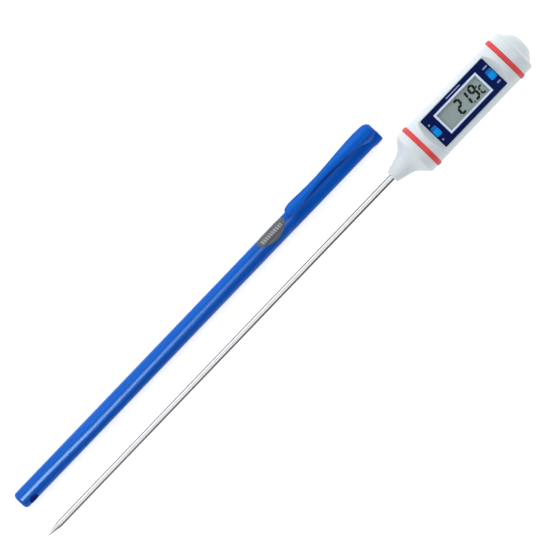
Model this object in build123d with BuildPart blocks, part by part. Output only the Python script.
from build123d import *
from math import asin, cos, degrees, radians, sin, sqrt
import os

# Digital soil thermometer with a long steel probe, and its clip-on sheath lying beside it.
# Millimetres. The probe's axis is X, from the pointed tip to the battery cap. The origin is
# where the steel stem enters the nose. +Z is out of the display, +Y the side of the sheath.

# ---------------------------------------------------------------- driving dimensions
stem_length = 300.0
stem_r = 2.0
stem_bore_r = 1.5
swaged_r = 1.6
swaged_bore_r = 1.15
tip_length = 10.0

head_r = 15.0
ring_r = 15.5
ring_edge = 0.9
collar_start = 19.6
front_ring_start = 24.0
barrel_start = 27.4
barrel_end = 96.4
cap_start = 99.7
cap_collar_end = 105.9
cap_end = 113.3

front_spigot_r = 13.8
head_bore_r = 12.6
rear_spigot_r = 12.4
rear_bore_r = 10.6
rear_spigot_end = 103.2
thread_gap = 0.1
cap_gap = 0.05

flat_z = 9.6
flat_start = 34.3
flat_end = 89.7
flat_rise = 3.4
inner_flat_z = 7.8

panel_centre = 62.0
panel_length = 53.3
panel_width = 21.9
panel_z = 9.7
panel_top = 10.15
display_centre = 61.65
bezel_length = 36.4
bezel_width = 15.4
bezel_top = 10.4
view_length = 33.6
view_width = 12.8
opening_length = 52.5
opening_width = 18.4

board_top = 5.1
board_thickness = 1.0
board_length = 52.0
board_width = 18.0
rail_y = 6.6
screw_y = 7.6
screw_r = 0.7

unit_button_x = 38.15
power_button_x = 85.8
button_top = 10.9
button_gap = 0.15

cell_r = 5.8
cell_thickness = 5.4
cell_start = 96.9

sheath_r = 5.85
sheath_bore_r = 4.65
sheath_start = -297.4
sheath_mouth = 13.3
sheath_y = 26.3
sheath_lip_r = 6.35
sheath_z = -ring_r + sheath_lip_r
clip_angle = 33.0
clip_tip = -60.7
clip_hinge_x = 5.0
clip_gap = 0.1

os.makedirs("parts", exist_ok=True)


def write(part, label):
    """Label a finished piece and write it to its own STEP file."""
    part.label = label
    export_step(part, f"parts/{label}.step")


# ---------------------------------------------------------------- stem and sensor
with BuildPart() as stem_tube:
    with BuildSketch(Plane.XZ):
        with BuildLine():
            nose_tip = (-stem_length + 0.25, 0.25)
            ThreePointArc((-stem_length, 0), (-stem_length + 0.07, 0.17), nose_tip)
            Polyline(
                nose_tip,
                (-stem_length + tip_length, stem_r),
                (0, stem_r),
                (0, swaged_r),
                (16.0, swaged_r),
                (16.0, swaged_bore_r),
                (-2.0, swaged_bore_r),
                (-3.0, stem_bore_r),
                (-288.0, stem_bore_r),
                (-289.0, 0),
                (-stem_length, 0),
            )
        make_face()
    revolve(axis=Axis.X)
write(stem_tube.part, "stem_tube")

bead_start = -287.4
bead_r = 0.8
with BuildPart() as thermistor_bead:
    with BuildSketch(Plane.XZ):
        with BuildLine():
            Line((bead_start, 0), (-283.4, 0))
            Line((-283.4, 0), (-283.4, bead_r))
            Line((-283.4, bead_r), (bead_start + bead_r, bead_r))
            CenterArc((bead_start + bead_r, 0), bead_r, 90, 90)
        make_face()
    revolve(axis=Axis.X)
write(thermistor_bead.part, "thermistor_bead")

# Two insulated leads run down the tube and turn up to the underside of the board.
wire_r = 0.25
wire_y = 0.45
wire_end_x = 42.0
wire_spread = 2.0
board_bottom = board_top - board_thickness
with BuildPart() as sensor_wires:
    for side in (-1, 1):
        with BuildLine() as route:
            FilletPolyline(
                (-283.4, side * wire_y, 0),
                (20.0, side * wire_y, 0),
                (wire_end_x, side * wire_spread, 0),
                (wire_end_x, side * wire_spread, board_bottom),
                radius=[20.0, 2.5],
            )
        with BuildSketch(Plane.YZ.offset(-283.4)):
            with Locations((side * wire_y, 0)):
                Circle(wire_r)
        sweep(path=route.line)
write(sensor_wires.part, "sensor_wires")

with BuildPart() as thermal_compound:
    with BuildSketch(Plane.XZ):
        with BuildLine():
            Polyline(
                (-289.0, 0),
                (-288.0, stem_bore_r),
                (-276.0, stem_bore_r),
                (-276.0, 0),
                close=True,
            )
        make_face()
    revolve(axis=Axis.X)
    add(thermistor_bead.part, mode=Mode.SUBTRACT)
    add(sensor_wires.part, mode=Mode.SUBTRACT)
write(thermal_compound.part, "thermal_compound")

with BuildPart() as stem_flange:
    with BuildSketch(Plane.XZ):
        with BuildLine():
            Polyline(
                (3.4, swaged_r),
                (3.4, 2.9),
                (7.0, 2.9),
                (7.0, 4.0),
                (8.6, 4.0),
                (8.6, 2.9),
                (12.0, 2.9),
                (12.0, swaged_r),
                close=True,
            )
        make_face()
    revolve(axis=Axis.X)
write(stem_flange.part, "stem_flange")

# ---------------------------------------------------------------- nose of the head
potting_start = 3.0
potting_end = 13.4
cone_inner = [(potting_start, 3.3), (9.6, 5.2), (potting_end, 7.2)]
with BuildPart() as front_cone:
    with BuildSketch(Plane.XZ):
        with BuildLine():
            Line((0, swaged_r + 0.05), (0, 3.2))
            ThreePointArc((0, 3.2), (0.4, 4.1), (1.3, 4.5))
            Line((1.3, 4.5), (9.4, 6.75))
            TangentArc((9.4, 6.75), (15.4, 10.7), tangent=(8.1, 2.25))
            Line((15.4, 10.7), (18.7, 14.6))
            TangentArc((collar_start, head_r), (18.7, 14.6), tangent=(-1, 0))
            Polyline(
                (collar_start, head_r),
                (front_ring_start, head_r),
                (front_ring_start, front_spigot_r + 0.02),
                (collar_start + 0.4, front_spigot_r + 0.02),
                (collar_start + 0.4, head_bore_r),
                (17.2, 11.0),
                cone_inner[2],
                cone_inner[1],
                cone_inner[0],
                (potting_start, swaged_r + 0.05),
                (0, swaged_r + 0.05),
            )
        make_face()
    revolve(axis=Axis.X)
write(front_cone.part, "front_cone")

with BuildPart() as neck_potting:
    with BuildSketch(Plane.XZ):
        with BuildLine():
            Polyline(
                (potting_start, swaged_r),
                *cone_inner,
                (potting_end, swaged_r),
                close=True,
            )
        make_face()
    revolve(axis=Axis.X)
    add(stem_flange.part, mode=Mode.SUBTRACT)
write(neck_potting.part, "neck_potting")


def seal_ring(start, end, inner_r):
    """Profile of a rubber band whose outer edges are rounded, in the XZ plane."""
    with BuildSketch(Plane.XZ) as profile:
        with BuildLine():
            Line((end, inner_r), (start, inner_r))
            Line((start, inner_r), (start, ring_r - ring_edge))
            TangentArc((start, ring_r - ring_edge), (start + ring_edge, ring_r), tangent=(0, 1))
            Line((start + ring_edge, ring_r), (end - ring_edge, ring_r))
            TangentArc((end - ring_edge, ring_r), (end, ring_r - ring_edge), tangent=(1, 0))
            Line((end, ring_r - ring_edge), (end, inner_r))
        make_face()
    return profile.sketch


with BuildPart() as front_seal_ring:
    add(seal_ring(front_ring_start, barrel_start, front_spigot_r))
    revolve(axis=Axis.X)
write(front_seal_ring.part, "front_seal_ring")

with BuildPart() as rear_seal_ring:
    add(seal_ring(barrel_end + cap_gap, cap_start, rear_spigot_r + thread_gap))
    revolve(axis=Axis.X)
write(rear_seal_ring.part, "rear_seal_ring")

# ---------------------------------------------------------------- barrel of the head
rail_top = board_bottom
rail_bottom = rail_top - 1.8
round_bore_end = 30.0
bore_end = 92.0
screw_xs = (39.9, 84.1)
screw_points = [(x, side * screw_y) for x in screw_xs for side in (-1, 1)]

with BuildPart() as housing_barrel:
    with BuildSketch(Plane.XZ):
        with BuildLine():
            Polyline(
                (collar_start + 0.4, 0),
                (collar_start + 0.4, front_spigot_r),
                (barrel_start, front_spigot_r),
                (barrel_start, head_r),
                (barrel_end, head_r),
                (barrel_end, rear_spigot_r),
                (rear_spigot_end, rear_spigot_r),
                (rear_spigot_end, 0),
                close=True,
            )
        make_face()
    revolve(axis=Axis.X)
    # The sunk flat for the display, with a sloped wall at each end.
    with BuildSketch(Plane.XZ):
        with BuildLine():
            Polyline(
                (flat_start, flat_z),
                (flat_start - flat_rise, head_r + 0.1),
                (flat_end + flat_rise, head_r + 0.1),
                (flat_end, flat_z),
                close=True,
            )
        make_face()
    extrude(amount=head_r, both=True, mode=Mode.SUBTRACT)
    # Round bore at the front, D-shaped under the display, round again at the rear.
    with BuildSketch(Plane.YZ.offset(collar_start)):
        Circle(head_bore_r)
    extrude(amount=round_bore_end - collar_start, mode=Mode.SUBTRACT)
    with BuildSketch(Plane.YZ.offset(round_bore_end)):
        Circle(head_bore_r)
        with Locations((0, inner_flat_z + head_r)):
            Rectangle(2 * head_r, 2 * head_r, mode=Mode.SUBTRACT)
    extrude(amount=bore_end - round_bore_end, mode=Mode.SUBTRACT)
    with BuildSketch(Plane.YZ.offset(bore_end)):
        Circle(rear_bore_r)
    extrude(amount=rear_spigot_end - bore_end, mode=Mode.SUBTRACT)
    # The display drops in through an opening in the flat and rests on two rails.
    with BuildSketch(Plane.XY.offset(inner_flat_z - 1)):
        with Locations((panel_centre, 0)):
            RectangleRounded(opening_length, opening_width, 1.0)
    extrude(amount=4.0, mode=Mode.SUBTRACT)
    for side in (-1, 1):
        with BuildSketch(Plane.YZ.offset(round_bore_end + 4)):
            with BuildLine():
                low_y = sqrt((head_bore_r + 0.2) ** 2 - rail_bottom**2)
                top_y = sqrt((head_bore_r + 0.2) ** 2 - rail_top**2)
                Polyline(
                    (side * rail_y, rail_bottom),
                    (side * low_y, rail_bottom),
                    (side * top_y, rail_top),
                    (side * rail_y, rail_top),
                    close=True,
                )
            make_face()
        extrude(amount=55.5)
    with BuildSketch(Plane.XY.offset(rail_top)):
        with Locations(*screw_points):
            Circle(screw_r)
    extrude(amount=-1.7, mode=Mode.SUBTRACT)
write(housing_barrel.part, "housing_barrel")

# ---------------------------------------------------------------- display stack
button_sizes = {"unit": (unit_button_x, 4.2, 6.8), "power": (power_button_x, 4.7, 6.8)}
button_corner = 1.0

with BuildPart() as panel_gasket:
    with BuildSketch(Plane.XY.offset(flat_z)):
        with Locations((panel_centre, 0)):
            RectangleRounded(panel_length - 0.2, panel_width - 0.2, 0.6)
            RectangleRounded(opening_length - 0.2, opening_width, 1.0, mode=Mode.SUBTRACT)
    extrude(amount=panel_z - flat_z)
write(panel_gasket.part, "panel_gasket")

with BuildPart() as display_panel:
    with BuildSketch(Plane.XY.offset(panel_z)):
        with Locations((panel_centre, 0)):
            RectangleRounded(panel_length, panel_width, 0.7)
        with Locations((display_centre, 0)):
            Rectangle(bezel_length, bezel_width, mode=Mode.SUBTRACT)
        for centre_x, length, width in button_sizes.values():
            with Locations((centre_x, 0)):
                RectangleRounded(
                    length + 2 * button_gap,
                    width + 2 * button_gap,
                    button_corner + button_gap,
                    mode=Mode.SUBTRACT,
                )
    extrude(amount=panel_top - panel_z)
write(display_panel.part, "display_panel")

# The bezel's foot is wider than its frame and is held down by the panel.
bezel_foot_z = 8.8
window_z = 9.45
window_top = 10.1
window_margin = 0.7
with BuildPart() as display_bezel:
    with BuildSketch(Plane.XY.offset(bezel_foot_z)):
        with Locations((display_centre, 0)):
            RectangleRounded(bezel_length + 2.4, bezel_width + 2.0, 0.8)
    extrude(amount=panel_z - bezel_foot_z)
    with BuildSketch(Plane.XY.offset(panel_z)):
        with Locations((display_centre, 0)):
            Rectangle(bezel_length, bezel_width)
    extrude(amount=bezel_top - panel_z)
    chamfer(display_bezel.edges().group_by(Axis.Z)[-1], 0.15)
    with BuildSketch(Plane.XY.offset(bezel_foot_z)):
        with Locations((display_centre, 0)):
            Rectangle(view_length, view_width)
    extrude(amount=bezel_top - bezel_foot_z, mode=Mode.SUBTRACT)
    with BuildSketch(Plane.XY.offset(bezel_foot_z)):
        with Locations((display_centre, 0)):
            Rectangle(view_length + window_margin, view_width + window_margin)
    extrude(amount=window_top - bezel_foot_z, mode=Mode.SUBTRACT)
write(display_bezel.part, "display_bezel")

with BuildPart() as display_window:
    with BuildSketch(Plane.XY.offset(window_z)):
        with Locations((display_centre, 0)):
            Rectangle(view_length + window_margin, view_width + window_margin)
    extrude(amount=window_top - window_z)
write(display_window.part, "display_window")

lcd_z = 7.1
lcd_thickness = bezel_foot_z - lcd_z
lcd_length = 38.0
lcd_width = 17.0
with BuildPart() as lcd_glass:
    with BuildSketch(Plane.XY.offset(lcd_z)):
        with Locations((display_centre, 0)):
            Rectangle(lcd_length, lcd_width)
    extrude(amount=lcd_thickness)
write(lcd_glass.part, "lcd_glass")

with BuildPart() as zebra_strips:
    with BuildSketch(Plane.XY.offset(board_top)):
        with Locations((display_centre, 7.4), (display_centre, -7.4)):
            Rectangle(35.0, 1.4)
    extrude(amount=lcd_z - board_top)
write(zebra_strips.part, "zebra_strips")

with BuildPart() as circuit_board:
    with BuildSketch(Plane.XY.offset(board_bottom)):
        with Locations((panel_centre, 0)):
            RectangleRounded(board_length, board_width, 0.8)
        with Locations(*screw_points):
            Circle(screw_r + 0.15, mode=Mode.SUBTRACT)
    extrude(amount=board_thickness)
write(circuit_board.part, "circuit_board")

chip_r = 4.2
chip_height = 1.3
dome_r = (chip_r**2 + chip_height**2) / (2 * chip_height)
dome_angle = degrees(asin(chip_r / dome_r))
chip_plane = Plane(origin=(panel_centre, 0, board_bottom), x_dir=(1, 0, 0), z_dir=(0, -1, 0))
with BuildPart() as controller_chip:
    with BuildSketch(chip_plane):
        with BuildLine():
            Line((0, -chip_height), (0, 0))
            Line((0, 0), (chip_r, 0))
            CenterArc((0, dome_r - chip_height), dome_r, 270, dome_angle)
        make_face()
    revolve(axis=Axis((panel_centre, 0, 0), (0, 0, 1)))
write(controller_chip.part, "controller_chip")

with BuildPart() as board_components:
    with BuildSketch(Plane.XY.offset(board_bottom)):
        with GridLocations(3.2, 0, 4, 1):
            with Locations((51.0 - 1.0, -4.4)):
                Rectangle(2.0, 1.25)
        with Locations((74.0, 3.6), (77.5, 3.6), (74.0, -3.6)):
            Rectangle(1.25, 2.0)
    extrude(amount=-0.6)
write(board_components.part, "board_components")

head_height = 0.9
shank_length = 2.4
with BuildPart() as board_screws:
    with BuildSketch(Plane.XY.offset(board_top)):
        with Locations(*screw_points):
            Circle(1.25)
    extrude(amount=head_height)
    fillet(board_screws.faces().sort_by(Axis.Z)[-4:].edges(), 0.3)
    with BuildSketch(Plane.XY.offset(board_top + head_height)):
        for angle in (0, 90):
            with Locations(*screw_points):
                Rectangle(1.3, 0.3, rotation=angle)
    extrude(amount=-0.45, mode=Mode.SUBTRACT)
    with BuildSketch(Plane.XY.offset(board_top)):
        with Locations(*screw_points):
            Circle(screw_r)
    extrude(amount=-shank_length)
write(board_screws.part, "board_screws")

# ---------------------------------------------------------------- buttons and switches
switch_height = 1.4
plunger_r = 0.8
plunger_top = board_top + switch_height + 0.7
stem_half = (1.1, 2.2)
cap_bottom = flat_z + 0.6
ear_bottom = 8.7
ear_top = panel_z - 0.1


def make_button(kind):
    """A key: dished cap, stem down to the switch, and two ears under the panel."""
    centre_x, length, width = button_sizes[kind]
    with BuildPart() as button:
        with BuildSketch(Plane.XY.offset(cap_bottom)):
            with Locations((centre_x, 0)):
                RectangleRounded(length, width, button_corner)
        extrude(amount=button_top - cap_bottom)
        fillet(button.edges().group_by(Axis.Z)[-1], 0.3)
        with BuildSketch(Plane.XY.offset(plunger_top)):
            with Locations((centre_x, 0)):
                Rectangle(2 * stem_half[0], 2 * stem_half[1])
        extrude(amount=cap_bottom - plunger_top)
        with BuildSketch(Plane.XY.offset(ear_bottom)):
            with Locations((centre_x, 0)):
                Rectangle(2 * stem_half[0], width + 1.6)
        extrude(amount=ear_top - ear_bottom)
    return button.part


def make_switch(kind):
    """A slim tactile switch with a well for its plunger."""
    centre_x = button_sizes[kind][0]
    with BuildPart() as switch:
        with BuildSketch(Plane.XY.offset(board_top)):
            with Locations((centre_x, 0)):
                Rectangle(3.0, 6.0)
        extrude(amount=switch_height)
        chamfer(switch.edges().group_by(Axis.Z)[-1], 0.2)
        with BuildSketch(Plane.XY.offset(board_top + switch_height)):
            with Locations((centre_x, 0)):
                Circle(plunger_r + 0.06)
        extrude(amount=-1.2, mode=Mode.SUBTRACT)
    return switch.part


def make_plunger(kind):
    """The switch's actuator, which travels with the key above it."""
    centre_x = button_sizes[kind][0]
    with BuildPart() as plunger:
        with BuildSketch(Plane.XY.offset(plunger_top)):
            with Locations((centre_x, 0)):
                Circle(plunger_r)
        extrude(amount=-1.3)
    return plunger.part


for kind in button_sizes:
    write(make_button(kind), f"{kind}_button")
    write(make_switch(kind), f"{kind}_switch")
    write(make_plunger(kind), f"{kind}_plunger")

# ---------------------------------------------------------------- battery compartment
holder_start = 92.3
holder_end = 102.9
pocket_start = 95.2
pocket_r = cell_r + 0.15
strip_thickness = 0.25
strip_half = 1.5
positive_y = cell_r + 0.02
tab_start = 86.4

with BuildPart() as battery_holder:
    with BuildSketch(Plane.YZ.offset(holder_start)):
        Circle(rear_bore_r)
    extrude(amount=holder_end - holder_start)
    with BuildSketch(Plane.YZ.offset(pocket_start)):
        Circle(pocket_r)
    extrude(amount=holder_end - pocket_start, mode=Mode.SUBTRACT)
    with BuildSketch(Plane.YZ.offset(holder_start)):
        with Locations((cell_r + 0.2, 0)):
            Rectangle(0.8, 2 * strip_half + 0.2)
    extrude(amount=holder_end - holder_start, mode=Mode.SUBTRACT)
    with BuildSketch(Plane.YZ.offset(holder_start)):
        with Locations((-cell_r - 0.1, 0)):
            Rectangle(0.8, 2 * strip_half + 0.2)
    extrude(amount=pocket_start - holder_start + 0.6, mode=Mode.SUBTRACT)
write(battery_holder.part, "battery_holder")

with BuildPart() as button_cell:
    with BuildSketch(Plane.YZ.offset(cell_start + 0.4)):
        Circle(cell_r)
    extrude(amount=cell_thickness - 0.4)
    fillet(button_cell.edges().group_by(Axis.X)[-1], 0.4)
    with BuildSketch(Plane.YZ.offset(cell_start)):
        Circle(cell_r - 1.0)
    extrude(amount=0.4)
write(button_cell.part, "button_cell")

with BuildPart() as positive_contact:
    with BuildSketch(Plane.XZ.offset(-positive_y)):
        with BuildLine():
            Polyline(
                (tab_start, -strip_half),
                (101.4, -strip_half),
                (101.4, strip_half),
                (tab_start + 1.6, strip_half),
                (tab_start + 1.6, board_bottom),
                (tab_start, board_bottom),
                close=True,
            )
        make_face()
    extrude(amount=-strip_thickness)
write(positive_contact.part, "positive_contact")

negative_y = -positive_y - strip_thickness
plate_x = pocket_start + 0.1
plate_front = plate_x + strip_thickness
tongue_x = cell_start - 0.02
with BuildPart() as negative_contact:
    with BuildSketch(Plane.XY):
        with BuildLine():
            Polyline(
                (tab_start, negative_y),
                (plate_front, negative_y),
                (plate_front, 3.0),
                (plate_x, 3.0),
                (plate_x, negative_y + strip_thickness),
                (tab_start, negative_y + strip_thickness),
                close=True,
            )
        make_face()
        with BuildLine():
            Polyline(
                (plate_x, 3.0),
                (plate_front, 3.0),
                (tongue_x, -1.8),
                (tongue_x - strip_thickness, -1.8),
                (plate_front - 0.05, 2.3),
                close=True,
            )
        make_face()
    extrude(amount=strip_half, both=True)
    with BuildSketch(Plane.XZ.offset(-negative_y)):
        with Locations((tab_start + 0.8, (strip_half + board_bottom) / 2)):
            Rectangle(1.6, board_bottom - strip_half)
    extrude(amount=-strip_thickness)
write(negative_contact.part, "negative_contact")

# ---------------------------------------------------------------- battery cap
post_r = 3.0
with BuildPart() as battery_cap:
    with BuildSketch(Plane.XZ):
        with BuildLine():
            Line((cap_start + cap_gap, rear_spigot_r + thread_gap), (cap_start + cap_gap, head_r))
            Line((cap_start + cap_gap, head_r), (105.7, head_r))
            ThreePointArc((105.7, head_r), (106.7, 14.4), (107.1, 13.2))
            Line((107.1, 13.2), (107.8, 11.9))
            Line((107.8, 11.9), (111.4, 8.0))
            ThreePointArc((111.4, 8.0), (112.8, 5.5), (cap_end, 2.9))
            Polyline(
                (cap_end, 2.9),
                (cap_end, 0),
                (111.3, 0),
                (111.3, post_r - 1.3),
                (cell_start + cell_thickness + 0.05, post_r - 1.3),
                (cell_start + cell_thickness + 0.05, post_r),
                (111.0, post_r),
                (110.0, 5.6),
                (104.6, 11.0),
                (104.6, rear_spigot_r + thread_gap),
                (cap_start + cap_gap, rear_spigot_r + thread_gap),
            )
        make_face()
    revolve(axis=Axis.X)
write(battery_cap.part, "battery_cap")

# ---------------------------------------------------------------- sheath, clip and label
clip_up = (0, sin(radians(clip_angle)), cos(radians(clip_angle)))
clip_side = (0, -cos(radians(clip_angle)), sin(radians(clip_angle)))
side_plane = Plane(origin=(0, sheath_y, sheath_z), x_dir=(1, 0, 0), z_dir=clip_side)
top_plane = Plane(origin=(0, sheath_y, sheath_z), x_dir=(1, 0, 0), z_dir=clip_up)
end_round = 2.6
end_wall = 2.0
lip_start = 5.0
lanyard_r = 3.2
lanyard_inset = 7.9
root_half = 4.9
root_top = 8.9
clip_thickness = 2.0

root_round = 2.6
root_reach = 9.4
root_end = 12.3
root_centre = (clip_hinge_x + clip_gap, sheath_y, sheath_z)
clip_across = (0, cos(radians(clip_angle)), -sin(radians(clip_angle)))
root_plane = Plane(origin=root_centre, x_dir=clip_across, z_dir=(1, 0, 0))

# The block at the mouth that the clip springs from.
with BuildPart() as clip_root:
    with BuildSketch(root_plane):
        with Locations((0, root_top / 2)):
            RectangleRounded(2 * root_half, root_top, root_round)
    extrude(amount=sheath_mouth - clip_hinge_x - clip_gap)
    with BuildSketch(side_plane):
        with BuildLine():
            Line((clip_hinge_x, 0), (clip_hinge_x, root_reach))
            ThreePointArc((clip_hinge_x, root_reach), (9.4, 7.9), (root_end, sheath_r))
            Line((root_end, sheath_r), (root_end, 0))
            Line((root_end, 0), (clip_hinge_x, 0))
        make_face()
    revolve(axis=Axis((0, sheath_y, sheath_z), (1, 0, 0)), mode=Mode.INTERSECT)

with BuildPart() as sheath_tube:
    with BuildSketch(side_plane):
        with BuildLine():
            Line((sheath_start, 0), (sheath_start, sheath_r - end_round))
            TangentArc(
                (sheath_start, sheath_r - end_round),
                (sheath_start + end_round, sheath_r),
                tangent=(0, 1),
            )
            Line((sheath_start + end_round, sheath_r), (lip_start, sheath_r))
            Line((lip_start, sheath_r), (lip_start + 3.0, sheath_lip_r))
            Line((lip_start + 3.0, sheath_lip_r), (sheath_mouth - 0.8, sheath_lip_r))
            Line((sheath_mouth - 0.8, sheath_lip_r), (sheath_mouth, sheath_lip_r - 0.7))
            Line((sheath_mouth, sheath_lip_r - 0.7), (sheath_mouth, 0))
            Line((sheath_mouth, 0), (sheath_start, 0))
        make_face()
    revolve(axis=Axis((0, sheath_y, sheath_z), (1, 0, 0)))
    add(clip_root.part)
    with BuildSketch(side_plane):
        with BuildLine():
            Polyline(
                (sheath_start + end_wall, 0),
                (sheath_start + end_wall, 3.2),
                (sheath_start + end_wall + 1.4, sheath_bore_r),
                (sheath_mouth - 0.6, sheath_bore_r),
                (sheath_mouth, sheath_bore_r + 0.4),
                (sheath_mouth, 0),
                close=True,
            )
        make_face()
    revolve(axis=Axis((0, sheath_y, sheath_z), (1, 0, 0)), mode=Mode.SUBTRACT)
    with BuildSketch(side_plane):
        with Locations((sheath_start + lanyard_inset, 0)):
            Circle(lanyard_r)
    extrude(amount=2 * sheath_r, both=True, mode=Mode.SUBTRACT)
write(sheath_tube.part, "sheath_tube")

with BuildPart() as pocket_clip:
    with BuildSketch(side_plane):
        with BuildLine():
            Line((clip_hinge_x, 6.7), (clip_hinge_x, root_top))
            Spline(
                (clip_hinge_x, root_top),
                (-15.0, root_top + 0.4),
                (-45.0, root_top + 0.1),
                (clip_tip, root_top - 0.5),
            )
            Line((clip_tip, root_top - 0.5), (clip_tip, root_top - 1.5))
            Line((clip_tip, root_top - 1.5), (clip_tip + 3.5, 6.1))
            Line((clip_tip + 3.5, 6.1), (clip_tip + 7.5, 6.1))
            Line((clip_tip + 7.5, 6.1), (clip_tip + 12.0, root_top - clip_thickness))
            Spline(
                (clip_tip + 12.0, root_top - clip_thickness),
                (-15.0, root_top + 0.4 - clip_thickness),
                (clip_hinge_x, 6.7),
            )
        make_face()
    extrude(amount=root_half + 1, both=True)
    with BuildSketch(top_plane):
        with BuildLine():
            ThreePointArc((clip_tip + 3.4, -4.2), (clip_tip, 0), (clip_tip + 3.4, 4.2))
            Spline(
                (clip_tip + 3.4, 4.2),
                (clip_tip + 12.0, 3.8),
                (clip_tip + 24.0, 2.75),
                (clip_tip + 45.0, 4.0),
                (clip_hinge_x, root_half),
            )
            Line((clip_hinge_x, root_half), (clip_hinge_x, -root_half))
            Spline(
                (clip_hinge_x, -root_half),
                (clip_tip + 45.0, -4.0),
                (clip_tip + 24.0, -2.75),
                (clip_tip + 12.0, -3.8),
                (clip_tip + 3.4, -4.2),
            )
        make_face()
    extrude(amount=3 * sheath_r, mode=Mode.INTERSECT)
write(pocket_clip.part, "pocket_clip")

label_length = 23.0
label_wrap = 12.9
label_thickness = 0.15
label_angle = radians(38)
label_centre = clip_tip - 2.6 - label_length / 2
label_half = sheath_r * sin(label_wrap / 2 / sheath_r)
label_plane = Plane(
    origin=(0, sheath_y, sheath_z),
    x_dir=(1, 0, 0),
    z_dir=(0, sin(label_angle), cos(label_angle)),
)
with BuildPart() as sheath_label:
    with BuildSketch(Plane.YZ.offset(label_centre - label_length)):
        with Locations((sheath_y, sheath_z)):
            Circle(sheath_r + label_thickness)
            Circle(sheath_r, mode=Mode.SUBTRACT)
    extrude(amount=2 * label_length)
    with BuildSketch(label_plane):
        with Locations((label_centre, 0)):
            Ellipse(label_length / 2, label_half)
    extrude(amount=3 * sheath_r, mode=Mode.INTERSECT)
write(sheath_label.part, "sheath_label")
